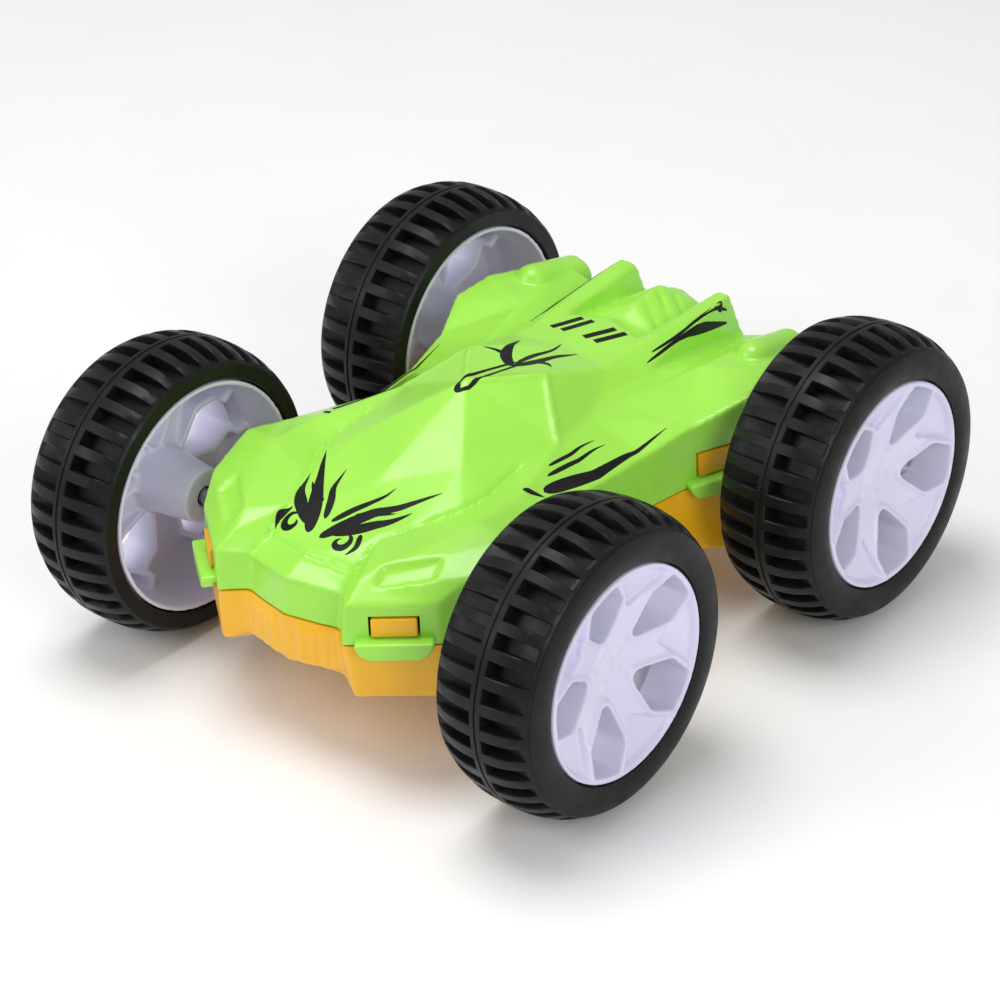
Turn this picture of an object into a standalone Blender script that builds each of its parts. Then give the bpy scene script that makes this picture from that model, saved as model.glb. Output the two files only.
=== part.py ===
"""Double-sided friction stunt car, about 126 mm long: two snapped body shells, four big wheels, and an
inertia gearbox on the rear axle.

Units are metres. +Z is up, -Y is the front of the car and +X is its left-hand side as the driver sits.
The origin is on the floor, under the middle of the car.
"""

from math import atan, cos, hypot, pi, radians, sin, sqrt

import bmesh
import bpy
from mathutils import Matrix, Vector

MM = 0.001

# Wheels and axles (millimetres)
TYRE_RADIUS = 26.4
AXLE_HEIGHT = TYRE_RADIUS
WHEELBASE = 73.0
WHEEL_OUTER_X = 56.2
WHEEL_WIDTH = 19.4
RIM_EDGE_RADIUS = 18.5
BEAD_RADIUS = 21.2
HUB_RADIUS = 5.0
AXLE_RADIUS = 1.5
AXLE_END_X = 50.5
BUSH_RADIUS = 2.6
WHEEL_STEPS = 36
AXLES_Y = {"front": -WHEELBASE / 2, "rear": WHEELBASE / 2}

# Body shells
WALL = 1.2
SEAM_GAP = 0.15
LOWER_DEPTH = 2.6
BELLY_Z = -21.0
TAB_GAP = 0.4

# Gearbox: two reductions with the same pair of tooth counts
GEAR_MODULE = 0.7
WHEEL_TEETH = 24
PINION_TEETH = 10
MESH_SLACK = 0.1
CENTRE_DISTANCE = GEAR_MODULE * (WHEEL_TEETH + PINION_TEETH) / 2 + MESH_SLACK
PRESSURE_ANGLE = radians(25)
BACKLASH = 0.08
IDLER_Y = AXLES_Y["rear"] - CENTRE_DISTANCE
FLYWHEEL_Y = IDLER_Y - CENTRE_DISTANCE
PIN_RADIUS = 1.0
FLYWHEEL_RADIUS = 8.8
GEARBOX_HALF_HEIGHT = 10.8
FIT_GAP = 0.3

COLOURS = {
    "green_shell": ((0.36, 0.87, 0.09, 1), 0.25, 0.0),
    "orange_shell": ((0.98, 0.47, 0.02, 1), 0.3, 0.0),
    "wheel_white": ((0.76, 0.74, 0.92, 1), 0.35, 0.0),
    "tyre_black": ((0.017, 0.017, 0.019, 1), 0.5, 0.0),
    "steel": ((0.55, 0.55, 0.56, 1), 0.3, 1.0),
    "brass": ((0.78, 0.57, 0.25, 1), 0.3, 1.0),
    "gear_nylon": ((0.8, 0.78, 0.7, 1), 0.45, 0.0),
    "gearbox_grey": ((0.1, 0.1, 0.11, 1), 0.5, 0.0),
}


def clear_scene():
    for item in list(bpy.data.objects):
        bpy.data.objects.remove(item, do_unlink=True)


def material(name):
    found = bpy.data.materials.get(name)
    if found:
        return found
    colour, roughness, metallic = COLOURS[name]
    made = bpy.data.materials.new(name)
    made.use_nodes = True
    shader = made.node_tree.nodes["Principled BSDF"]
    shader.inputs["Base Color"].default_value = colour
    shader.inputs["Roughness"].default_value = roughness
    shader.inputs["Metallic"].default_value = metallic
    return made


def add_object(name, mesh, finish=None, place=(0, 0, 0)):
    """Links a mesh as an object whose place is given in millimetres."""
    made = bpy.data.objects.new(name, mesh)
    made.location = Vector(place) * MM
    if finish and not mesh.materials:
        mesh.materials.append(material(finish))
    bpy.context.scene.collection.objects.link(made)
    return made


def mesh_from(name, points, faces):
    """A closed or open mesh from points in millimetres, with its faces turned outwards."""
    work = bmesh.new()
    corners = [work.verts.new(Vector(point) * MM) for point in points]
    for face in faces:
        work.faces.new([corners[i] for i in face])
    bmesh.ops.recalc_face_normals(work, faces=work.faces)
    mesh = bpy.data.meshes.new(name)
    work.to_mesh(mesh)
    work.free()
    return mesh


def turned(name, profile, steps=WHEEL_STEPS):
    """Turns a closed profile of (x, radius) points round the X axis. Radius 0 closes it to a solid."""
    points, rings = [], []
    for x, radius in profile:
        if radius == 0:
            rings.append([len(points)] * steps)
            points.append((x, 0, 0))
            continue
        rings.append(list(range(len(points), len(points) + steps)))
        points += [
            (x, radius * cos(2 * pi * k / steps), radius * sin(2 * pi * k / steps)) for k in range(steps)
        ]
    faces = []
    for a, b in zip(rings, rings[1:] + rings[:1]):
        for k in range(steps):
            corners = [a[k], a[(k + 1) % steps], b[(k + 1) % steps], b[k]]
            corners = list(dict.fromkeys(corners))
            if len(corners) > 2:
                faces.append(corners)
    mesh = mesh_from(name, points, faces)
    mesh.shade_smooth()
    mesh.set_sharp_from_angle(angle=radians(35))
    return mesh


def prism(name, outline, x_from, x_to):
    """Extrudes an outline of (y, z) points along X."""
    count = len(outline)
    points = [(x, y, z) for x in (x_from, x_to) for y, z in outline]
    faces = [list(range(count)), list(range(count, 2 * count))]
    faces += [[k, (k + 1) % count, count + (k + 1) % count, count + k] for k in range(count)]
    return mesh_from(name, points, faces)


def box(name, low, high):
    outline = [(low[1], low[2]), (high[1], low[2]), (high[1], high[2]), (low[1], high[2])]
    return prism(name, outline, low[0], high[0])


def combine(target, others, operation):
    """Adds a Boolean modifier for each helper, and hides the helper."""
    for other in others:
        other.hide_render = True
        other.display_type = "WIRE"
        step = target.modifiers.new(other.name, "BOOLEAN")
        step.operation = operation
        step.solver = "EXACT"
        step.object = other


def helper(name, mesh, place=(0, 0, 0)):
    made = add_object(name, mesh, place=place)
    made.hide_render = True
    return made


# ---------------------------------------------------------------- body shells

# Right half of the upper shell: x, y and height above the axles, in millimetres. The seam is at height 0.
UPPER = {
    # nose block
    "nose_seam": (0, -56.3, 0), "nose_seam_side": (10, -54.4, 0),
    "nose_edge": (0, -55.1, 6.9), "nose_edge_side": (10, -52.5, 6.2),
    "hood_front": (0, -50.6, 8.8), "hood_front_side": (9.4, -49.2, 8.2),
    # front corner and headlamp
    "corner_seam": (13.8, -57.5, 0), "corner_top": (14.2, -56.9, 7.2), "corner_ridge": (13.6, -52.6, 9.8),
    "chamfer_seam": (26.5, -47.5, 0), "chamfer_top": (26.3, -47.3, 7.6),
    "lamp_a": (16.3, -52.1, 9.0), "lamp_b": (15.3, -48.6, 11.4),
    "lamp_c": (23.2, -41.5, 12.5), "lamp_d": (24.4, -45.7, 10.4),
    # groove between the hood and the front wing
    "groove_1": (9.7, -43.1, 11.5), "groove_2": (12.9, -36.3, 12.0), "groove_3": (16.2, -29.5, 12.8),
    "groove_4": (17.2, -24, 13.4), "groove_5": (16.6, -14.5, 14.6),
    # side wall, seam and shoulder
    "side_1": (30.2, -41.5, 0), "shoulder_1": (29.0, -41.8, 10.8),
    "side_2": (31.5, -31, 0), "shoulder_2": (30.3, -32.0, 13.8),
    "side_3": (28.8, -22.5, 0), "shoulder_3": (27.5, -22.8, 12.9),
    "side_4": (26.6, -5, 0), "shoulder_4": (25.6, -4.5, 9.6),
    "side_5": (27, 6, 0), "shoulder_5": (26.4, 5.2, 10),
    "side_6": (28.2, 15, 0), "shoulder_6": (28.6, 16, 11.7),
    "side_7": (32.6, 26, 0), "shoulder_7": (33.0, 25.8, 14.4),
    "side_8": (32.4, 33.5, 0), "shoulder_8": (31.6, 33.0, 15.8),
    "side_9": (26.8, 48, 0), "shoulder_9": (27.4, 46.6, 14.2),
    # wing top
    "wing_1": (22.5, -33, 14.6), "wing_2": (22.5, -22, 14.4),
    # cabin
    "screen_foot": (0, -33.4, 14.0), "screen_foot_side": (10.9, -23.4, 16.0),
    "pillar_foot": (17.2, -6, 14.9),
    "roof_front": (0, -9.3, 22.8), "roof_corner": (8.5, 1.7, 22.0),
    "roof_rear_side": (10.5, 14.8, 17.9), "roof_rear": (0, 16.2, 18.4),
    "cabin_side_1": (15.2, 4.5, 14.5), "cabin_side_2": (13.4, 9.6, 15.3),
    # rear deck, fins and tail
    "deck_side": (9.5, 18.5, 17.9), "deck_edge_side": (8.0, 27.0, 17.6), "deck_edge": (0, 29.5, 18.0),
    "fin_out": (12.3, 48.1, 18.7), "fin_in": (9.0, 48.6, 18.0),
    "fin_foot_rear": (13.4, 50.4, 10.3), "fin_foot": (14.2, 20.5, 15.2),
    "trough": (0, 32, 16.6), "trough_side": (7.6, 29.5, 15.6),
    "cover_front": (0, 36.5, 18.2), "cover_front_side": (7.7, 33, 15.0),
    "cover_ridge": (0, 43.5, 18.8), "cover_ridge_side": (7.8, 41, 14.4),
    "cover_end": (0, 50, 15.3), "cover_end_side": (7.8, 49.6, 12.6),
    "channel_1": (16.2, 12.5, 13.8), "channel_2": (17.5, 30, 13.8), "channel_3": (17.5, 46, 13.2),
    "haunch_1": (20.0, 29.0, 15.0), "haunch_2": (21.5, 45.6, 14.6),
    "tail_side": (14, 53, 0), "tail": (0, 55, 0),
}

SHELL_FACES = """
nose_seam nose_seam_side nose_edge_side nose_edge
nose_edge nose_edge_side hood_front_side hood_front
nose_seam_side corner_seam corner_top nose_edge_side
nose_edge_side corner_top corner_ridge
nose_edge_side corner_ridge hood_front_side
hood_front_side corner_ridge groove_1
corner_seam chamfer_seam chamfer_top corner_top
corner_top chamfer_top lamp_d lamp_a
corner_top lamp_a corner_ridge
corner_ridge lamp_a lamp_b
corner_ridge lamp_b groove_1
lamp_a lamp_d lamp_c lamp_b
chamfer_top shoulder_1 lamp_d
lamp_d shoulder_1 lamp_c
lamp_c shoulder_1 shoulder_2
lamp_c shoulder_2 wing_1
lamp_b lamp_c wing_1
lamp_b wing_1 groove_2
groove_1 lamp_b groove_2
groove_2 wing_1 groove_3
groove_3 wing_1 wing_2
groove_3 wing_2 groove_4
groove_4 wing_2 groove_5
wing_1 shoulder_2 shoulder_3 wing_2
wing_2 shoulder_3 shoulder_4
wing_2 shoulder_4 pillar_foot
groove_5 wing_2 pillar_foot
pillar_foot shoulder_4 shoulder_5
pillar_foot shoulder_5 cabin_side_1
cabin_side_1 shoulder_5 shoulder_6
cabin_side_1 shoulder_6 channel_1
cabin_side_1 channel_1 cabin_side_2
hood_front hood_front_side groove_1
hood_front groove_1 screen_foot
groove_1 groove_2 screen_foot
groove_2 groove_3 screen_foot_side screen_foot
groove_3 groove_4 screen_foot_side
groove_4 groove_5 screen_foot_side
groove_5 pillar_foot screen_foot_side
screen_foot screen_foot_side roof_front
screen_foot_side pillar_foot roof_corner roof_front
pillar_foot cabin_side_1 roof_corner
cabin_side_1 cabin_side_2 roof_rear_side roof_corner
roof_front roof_corner roof_rear_side roof_rear
roof_rear roof_rear_side deck_side deck_edge_side deck_edge
roof_rear_side cabin_side_2 fin_foot deck_side
deck_side fin_foot fin_foot_rear fin_out
deck_side fin_out fin_in deck_edge_side
deck_edge_side fin_in cover_ridge_side cover_front_side trough_side
fin_in cover_end_side cover_ridge_side
deck_edge deck_edge_side trough_side trough
trough trough_side cover_front_side cover_front
cover_front cover_front_side cover_ridge_side cover_ridge
cover_ridge cover_ridge_side cover_end_side cover_end
cabin_side_2 channel_1 fin_foot
fin_foot channel_1 channel_2
fin_foot channel_2 channel_3 fin_foot_rear
channel_1 shoulder_6 haunch_1
channel_1 haunch_1 channel_2
channel_2 haunch_1 haunch_2 channel_3
shoulder_6 shoulder_7 haunch_1
haunch_1 shoulder_7 shoulder_8
haunch_1 shoulder_8 shoulder_9 haunch_2
channel_3 haunch_2 shoulder_9
channel_3 shoulder_9 side_9
channel_3 side_9 tail_side
channel_3 tail_side fin_foot_rear
fin_in fin_out fin_foot_rear cover_end_side
cover_end_side fin_foot_rear tail_side
cover_end cover_end_side tail_side tail
chamfer_seam side_1 shoulder_1 chamfer_top
side_1 side_2 shoulder_2 shoulder_1
side_2 side_3 shoulder_3 shoulder_2
side_3 side_4 shoulder_4 shoulder_3
side_4 side_5 shoulder_5 shoulder_4
side_5 side_6 shoulder_6 shoulder_5
side_6 side_7 shoulder_7 shoulder_6
side_7 side_8 shoulder_8 shoulder_7
side_8 side_9 shoulder_9 shoulder_8
"""


# The lower shell's nose stands upright, so these few points differ from the upper shell's.
LOWER_NOSE = {
    "nose_edge": (0, -56.3, -8.8), "nose_edge_side": (10, -53.9, -8.1),
    "corner_top": (15.0, -56.3, -10.3), "chamfer_top": (25.9, -47.3, -10.4),
}


def lower_point(point, name):
    """The underside repeats the upper body, a little deeper at its edges and with one flat panel."""
    x, y, height = point
    if height == 0:
        return point
    if name in LOWER_NOSE:
        return LOWER_NOSE[name]
    if name.startswith(("roof", "deck")):
        return (x, y, BELLY_Z)
    return (x, y, -height - LOWER_DEPTH * (1 - height / 23))


def shell(name, finish, points, side):
    """One body half: its skin mirrored about x = 0, thickened inwards, and trimmed at the seam."""
    below = -0.8 * side
    names = list(points)
    corners = []
    for key in names:
        x, y, height = points[key]
        corners.append((x, y, AXLE_HEIGHT + (below if height == 0 else height)))
    faces = [[names.index(word) for word in row.split()] for row in SHELL_FACES.strip().splitlines()]
    mirrored = [(-x, y, z) for x, y, z in corners]
    count = len(corners)
    centre = {i for i, corner in enumerate(corners) if corner[0] == 0}
    other = [[i if i in centre else i + count for i in face][::-1] for face in faces]
    used = sorted({i for face in faces + other for i in face})
    order = {old: new for new, old in enumerate(used)}
    both = corners + mirrored
    skin = mesh_from(name, [both[i] for i in used], [[order[i] for i in face] for face in faces + other])
    made = add_object(name, skin, finish)
    face_up(made, side)
    thick = made.modifiers.new("wall", "SOLIDIFY")
    thick.thickness = WALL * MM
    thick.offset = -1
    thick.use_even_offset = False
    trim_edge = AXLE_HEIGHT + side * SEAM_GAP
    low, high = sorted((trim_edge, trim_edge - side * 6))
    trim = helper(name + "_seam_trim", box(name + "_seam_trim", (-60, -70, low), (60, 70, high)))
    combine(made, [trim], "DIFFERENCE")
    return made


def face_up(made, side):
    """Splits the open skin into flat triangles, and turns them away from the inside of the car."""
    work = bmesh.new()
    work.from_mesh(made.data)
    bmesh.ops.triangulate(work, faces=work.faces)
    top = max(work.faces, key=lambda face: side * face.calc_center_median().z)
    if top.normal.z * side < 0:
        bmesh.ops.reverse_faces(work, faces=work.faces)
    work.to_mesh(made.data)
    work.free()


class Latch:
    """A place on a side wall: the middle of the window, and the wall's direction seen from above.

    Its lift is how much higher than the front windows' tops its own top is.
    """

    def __init__(self, name, start, end, middle, width, lift):
        self.name = name
        self.lift = lift
        along = Vector((end[0] - start[0], end[1] - start[1], 0)).normalized()
        outward = Vector((along.y, -along.x, 0))
        origin = Vector((start[0], start[1], AXLE_HEIGHT)) + along * middle
        self.width = width
        self.frame = Matrix((along, outward, (0, 0, 1))).transposed().to_4x4()
        self.frame.translation = origin

    def block(self, label, profile, width):
        """A prism along the wall with (outward, height) profile points."""
        corners, count = [], len(profile)
        for u in (-width / 2, width / 2):
            for out, height in profile:
                corners.append(self.frame @ Vector((u, out, height)))
        faces = [list(range(count)), list(range(count, 2 * count))]
        faces += [[k, (k + 1) % count, count + (k + 1) % count, count + k] for k in range(count)]
        name = f"{self.name}_{label}"
        return helper(name, mesh_from(name, corners, faces))


def latches():
    places = []
    for side, word in ((1, "left"), (-1, "right")):
        front = [(side * 13.8, -57.5), (side * 26.5, -47.5)]
        rear = [(side * 28.2, 15), (side * 32.6, 26)]
        for label, (start, end), middle, width, lift in (
            ("front", front, 8.75, 8.3, 0),
            ("rear", rear, 5.3, 7.4, 1),
        ):
            if side < 0:
                start, end = end, start
                middle = hypot(end[0] - start[0], end[1] - start[1]) - middle
            places.append(Latch(f"latch_{label}_{word}", start, end, middle, width, lift))
    return places


def window_profile(lift):
    """The hole in the upper wall. Its sill is just above the bar."""
    return [(-3, 2.15), (3, 2.15), (3, 5.4 + lift), (-3, 5.4 + lift)]


def tab_profile(lift):
    """A tongue from the lower shell's wall, with a lip that sits in the window."""
    return [
        (-2.6, -5), (-0.6, -5), (-0.6, -0.7), (-1.6, -0.7), (-1.6, 2.45),
        (0.3, 2.45), (0.3, 4.6 + lift), (0, 4.9 + lift), (-2.6, 4.9 + lift),
    ]


def axle_cut(name, label):
    """A bar through both side walls that leaves a clear hole for the bushes."""
    reach, radius = 40, BUSH_RADIUS + FIT_GAP
    bar = turned("notch", [(-reach, 0), (-reach, radius), (reach, radius), (reach, 0)], 20)
    return helper(f"{name}_{label}_notch", bar, (0, AXLES_Y[label], AXLE_HEIGHT))


def body_shells():
    upper = shell("upper_shell", "green_shell", UPPER, 1)
    lower_points = {name: lower_point(point, name) for name, point in UPPER.items()}
    lower = shell("lower_shell", "orange_shell", lower_points, -1)
    bar = [
        (-0.7, 0.3), (-0.7, 2.0), (1.8, 2.0), (2.4, 1.4),
        (2.4, -1.0), (1.8, -1.6), (0.45, -1.6), (0.45, 0.3),
    ]
    bar_root = [(-0.7, 0.35), (-0.7, 1.9), (1.2, 1.9), (1.6, 1.5), (1.6, 0.35)]
    places = latches()
    combine(upper, [place.block("bar", bar, place.width + 2.4) for place in places], "UNION")
    combine(upper, [place.block("bar_root", bar_root, place.width + 5.2) for place in places], "UNION")
    windows = [place.block("window", window_profile(place.lift), place.width) for place in places]
    combine(upper, windows, "DIFFERENCE")
    combine(upper, [axle_cut("upper", label) for label in AXLES_Y], "DIFFERENCE")
    tabs = [place.block("tab", tab_profile(place.lift), place.width - 2 * TAB_GAP) for place in places]
    combine(lower, tabs, "UNION")
    combine(lower, [axle_cut("lower", label) for label in AXLES_Y], "DIFFERENCE")
    ribs = []
    for name, half_width, y, foot in (("cradle_front", 8, 6, -20.3), ("cradle_rear", 6, 41, -15.8)):
        low = (-half_width, y, AXLE_HEIGHT + foot)
        high = (half_width, y + 1.5, AXLE_HEIGHT - GEARBOX_HALF_HEIGHT - FIT_GAP)
        ribs.append(helper(name, box(name, low, high)))
    combine(lower, ribs, "UNION")


# ---------------------------------------------------------------- wheels

def rim_mesh():
    """A barrel, a dished disc with five windows, and a hub with a blind socket for the axle's knurled end.

    The profile's x runs inwards from the wheel's outer face.
    """
    barrel_radius = BEAD_RADIUS - FIT_GAP
    profile = [
        (0.2, RIM_EDGE_RADIUS - 0.2), (0.2, RIM_EDGE_RADIUS - 1.0), (3.2, RIM_EDGE_RADIUS - 2.2), (5.0, 0),
        (6.5, 0), (6.5, AXLE_RADIUS + FIT_GAP), (19.0, AXLE_RADIUS + FIT_GAP), (19.0, HUB_RADIUS),
        (8.2, HUB_RADIUS), (6.6, barrel_radius - 1.2), (19.2, barrel_radius - 1.0), (19.2, barrel_radius),
        (3.0, barrel_radius), (2.5, RIM_EDGE_RADIUS - 0.2),
    ]
    return turned("rim", profile, WHEEL_STEPS)


def window_cutter():
    """Five six-sided windows through the disc, as one mesh of separate prisms."""
    points, faces = [], []
    shape = [(7.0, -0.10), (7.0, 0.10), (12.5, 0.34), (17.6, 0.22), (17.6, -0.22), (12.5, -0.34)]
    for k in range(5):
        turn = 2 * pi * k / 5
        start = len(points)
        for x in (-2, 12):
            points += [(x, r * cos(turn + a), r * sin(turn + a)) for r, a in shape]
        count = len(shape)
        faces.append([start + i for i in range(count)])
        faces.append([start + count + i for i in range(count)])
        faces += [
            [start + i, start + (i + 1) % count, start + count + (i + 1) % count, start + count + i]
            for i in range(count)
        ]
    return mesh_from("rim_windows", points, faces)


def tyre_mesh():
    crown = TYRE_RADIUS
    profile = [
        (0.0, 19.3), (0.5, 23.0), (1.3, 24.3), (2.9, 25.6), (6.2, crown), (13.2, crown), (16.6, 25.6),
        (WHEEL_WIDTH, 24.1),
        (WHEEL_WIDTH, BEAD_RADIUS), (2.6, BEAD_RADIUS),
        (2.1, RIM_EDGE_RADIUS + 0.2), (0.4, RIM_EDGE_RADIUS + 0.2),
    ]
    return turned("tyre", profile, WHEEL_STEPS)


def wheels():
    rim, tyre = rim_mesh(), tyre_mesh()
    for label, y in AXLES_Y.items():
        for side, word in ((1, "left"), (-1, "right")):
            # A wheel is modelled with its outer face at x = 0 and turned to face its own side of the car.
            place = (side * WHEEL_OUTER_X, y, AXLE_HEIGHT)
            turn = (0, 0, pi if side > 0 else 0)
            cutter = helper(f"rim_{label}_{word}_windows", window_cutter(), place)
            cutter.rotation_euler = turn
            wheel_rim = add_object(f"rim_{label}_{word}", rim, "wheel_white", place)
            wheel_rim.rotation_euler = turn
            combine(wheel_rim, [cutter], "DIFFERENCE")
            wheel_tyre = add_object(f"tyre_{label}_{word}", tyre, "tyre_black", place)
            wheel_tyre.rotation_euler = turn


def axles():
    end = AXLE_END_X - 1.0
    for label, y in AXLES_Y.items():
        profile = [(-end, 0), (-end, AXLE_RADIUS), (end, AXLE_RADIUS), (end, 0)]
        add_object(f"{label}_axle", turned(f"{label}_axle", profile, 20), "steel", (0, y, AXLE_HEIGHT))
        for side, word in ((1, "left"), (-1, "right")):
            low, high = sorted((side * 27.5, side * 35.2))
            bore = AXLE_RADIUS + FIT_GAP
            ring = [(low, bore), (low, BUSH_RADIUS), (high, BUSH_RADIUS), (high, bore)]
            add_object(f"bush_{label}_{word}", turned("bush", ring, 20), "gearbox_grey", (0, y, AXLE_HEIGHT))


# ---------------------------------------------------------------- gearbox

def gear_outline(teeth):
    """(y, z) points of a spur gear with involute flanks, its first tooth centred on +Y."""
    pitch = GEAR_MODULE * teeth / 2
    base = pitch * cos(PRESSURE_ANGLE)
    outer = pitch + 0.8 * GEAR_MODULE
    root = pitch - 1.05 * GEAR_MODULE

    def involute(radius):
        slope = sqrt(max((radius / base) ** 2 - 1, 0))
        return slope - atan(slope)

    half_pitch_tooth = pi / teeth / 2 - BACKLASH / pitch
    flank_start = max(base, root)
    radii = [flank_start, (flank_start + outer) / 2, outer]
    points = []
    for k in range(teeth):
        middle = 2 * pi * k / teeth
        offsets = [half_pitch_tooth + involute(pitch) - involute(radius) for radius in radii]
        rising = [(root, -offsets[0] * 1.05)] + [(r, -a) for r, a in zip(radii, offsets)]
        falling = [(r, -a) for r, a in reversed(rising)]
        for radius, angle in rising + falling:
            points.append((radius * cos(middle + angle), radius * sin(middle + angle)))
    return points


def rotated(outline, angle):
    return [(y * cos(angle) - z * sin(angle), y * sin(angle) + z * cos(angle)) for y, z in outline]


def gear_with_bore(name, outline, x_from, x_to, bore, steps=20):
    """A toothed prism with a round hole, its two side faces bridged from the teeth to the bore."""
    count = len(outline)
    points = [(x, y, z) for x in (x_from, x_to) for y, z in outline]
    hole = [(bore * cos(2 * pi * k / steps), bore * sin(2 * pi * k / steps)) for k in range(steps)]
    points += [(x, y, z) for x in (x_from, x_to) for y, z in hole]
    work = bmesh.new()
    corners = [work.verts.new(Vector(point) * MM) for point in points]
    for start, size in ((0, count), (2 * count, steps)):
        for k in range(size):
            a, b = start + k, start + (k + 1) % size
            work.faces.new([corners[a], corners[b], corners[b + size], corners[a + size]])
    for end in (0, 1):
        rim_edges = [
            work.edges.get((corners[end * count + k], corners[end * count + (k + 1) % count]))
            for k in range(count)
        ]
        first = 2 * count + end * steps
        rim_edges += [
            work.edges.get((corners[first + k], corners[first + (k + 1) % steps])) for k in range(steps)
        ]
        bmesh.ops.triangle_fill(work, use_beauty=True, use_dissolve=False, edges=rim_edges)
    bmesh.ops.recalc_face_normals(work, faces=work.faces)
    mesh = bpy.data.meshes.new(name)
    work.to_mesh(mesh)
    work.free()
    return mesh


def gear_train():
    bore = AXLE_RADIUS + FIT_GAP
    pin_bore = PIN_RADIUS + FIT_GAP
    wheel, pinion = gear_outline(WHEEL_TEETH), gear_outline(PINION_TEETH)
    # On the line between two gears, a tooth of one faces a gap of the other.
    half_wheel, half_pinion = pi / WHEEL_TEETH, pi / PINION_TEETH
    add_object(
        "axle_gear",
        gear_with_bore("axle_gear", rotated(wheel, half_wheel), 2.0, 5.4, bore),
        "gear_nylon",
        (0, AXLES_Y["rear"], AXLE_HEIGHT),
    )
    idler = add_object(
        "idler_gear",
        gear_with_bore("idler_gear", wheel, -2.4, 0.5, pin_bore),
        "gear_nylon",
        (0, IDLER_Y, AXLE_HEIGHT),
    )
    idler_pinion = helper(
        "idler_pinion_union",
        gear_with_bore("idler_pinion", pinion, 0.1, 5.6, pin_bore),
        (0, IDLER_Y, AXLE_HEIGHT),
    )
    combine(idler, [idler_pinion], "UNION")
    add_object(
        "flywheel_pinion",
        gear_with_bore("flywheel_pinion", rotated(pinion, half_pinion), -2.6, 0.7, pin_bore),
        "brass",
        (0, FLYWHEEL_Y, AXLE_HEIGHT),
    )
    disc = [
        (-7.2, pin_bore), (-7.2, 3.2), (-6.5, 3.2), (-6.5, 6.0), (-7.2, 6.0), (-7.2, FLYWHEEL_RADIUS),
        (-3.3, FLYWHEEL_RADIUS), (-3.3, pin_bore),
    ]
    add_object("flywheel", turned("flywheel", disc, 30), "steel", (0, FLYWHEEL_Y, AXLE_HEIGHT))
    pin = [(-8.9, 0), (-8.9, PIN_RADIUS), (7.1, PIN_RADIUS), (7.1, 0)]
    add_object("flywheel_shaft", turned("flywheel_shaft", pin, 16), "steel", (0, FLYWHEEL_Y, AXLE_HEIGHT))
    add_object("idler_shaft", turned("idler_shaft", pin, 16), "steel", (0, IDLER_Y, AXLE_HEIGHT))


SCREW_PLACES = {"upper": (IDLER_Y - CENTRE_DISTANCE / 2, 8.3), "lower": (IDLER_Y + CENTRE_DISTANCE / 2, -8.3)}


def gearbox():
    front, rear = FLYWHEEL_Y - FLYWHEEL_RADIUS - 1.8, AXLES_Y["rear"] + 10.8
    height, corner = GEARBOX_HALF_HEIGHT, 2.0

    def outline(inset):
        y0, y1, z = front + inset, rear - inset, height - inset
        return [
            (y0 + corner, -z), (y1 - corner, -z), (y1, -z + corner), (y1, z - corner),
            (y1 - corner, z), (y0 + corner, z), (y0, z - corner), (y0, -z + corner),
        ]

    def raised(points):
        return [(y, z + AXLE_HEIGHT) for y, z in points]

    halves = (("gearbox_right", -9.2, 1.1, -8.0, 3.0), ("gearbox_left", 1.4, 7.4, -1.0, 6.2))
    for name, x0, x1, hollow0, hollow1 in halves:
        cup = add_object(name, prism(name, raised(outline(0)), x0, x1), "gearbox_grey")
        cuts = [helper(name + "_hollow", prism(name + "_hollow", raised(outline(WALL)), hollow0, hollow1))]
        holes = {
            "axle": (AXLES_Y["rear"], 0, AXLE_RADIUS), "idler": (IDLER_Y, 0, PIN_RADIUS),
            "flywheel": (FLYWHEEL_Y, 0, PIN_RADIUS),
        }
        holes.update({key: (y, z, 0.8) for key, (y, z) in SCREW_PLACES.items()})
        for key, (y, z, radius) in holes.items():
            drill = [(-12, 0), (-12, radius + FIT_GAP), (12, radius + FIT_GAP), (12, 0)]
            cuts.append(helper(f"{name}_{key}_hole", turned("drill", drill, 20), (0, y, AXLE_HEIGHT + z)))
        combine(cup, cuts, "DIFFERENCE")
    for key, (y, z) in SCREW_PLACES.items():
        screw = [
            (-8.8, 0), (-8.8, 0.5), (-8.2, 0.8), (7.8, 0.8),
            (7.8, 1.7), (8.7, 1.5), (8.9, 0.8), (8.9, 0),
        ]
        add_object(f"gearbox_screw_{key}", turned("screw", screw, 16), "steel", (0, y, AXLE_HEIGHT + z))


clear_scene()
body_shells()
wheels()
axles()
gear_train()
gearbox()
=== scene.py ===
"""The finished look of a double-sided friction stunt car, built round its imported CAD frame.

Sizes are in millimetres, measured from the middle of the car and from the height of its axles,
and MM turns them into the frame's metres. The sections follow the order of assembly.
"""

from math import cos, hypot, pi, radians, sin

import bmesh
import bpy
from mathutils import Matrix, Vector
from mathutils.bvhtree import BVHTree


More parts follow.
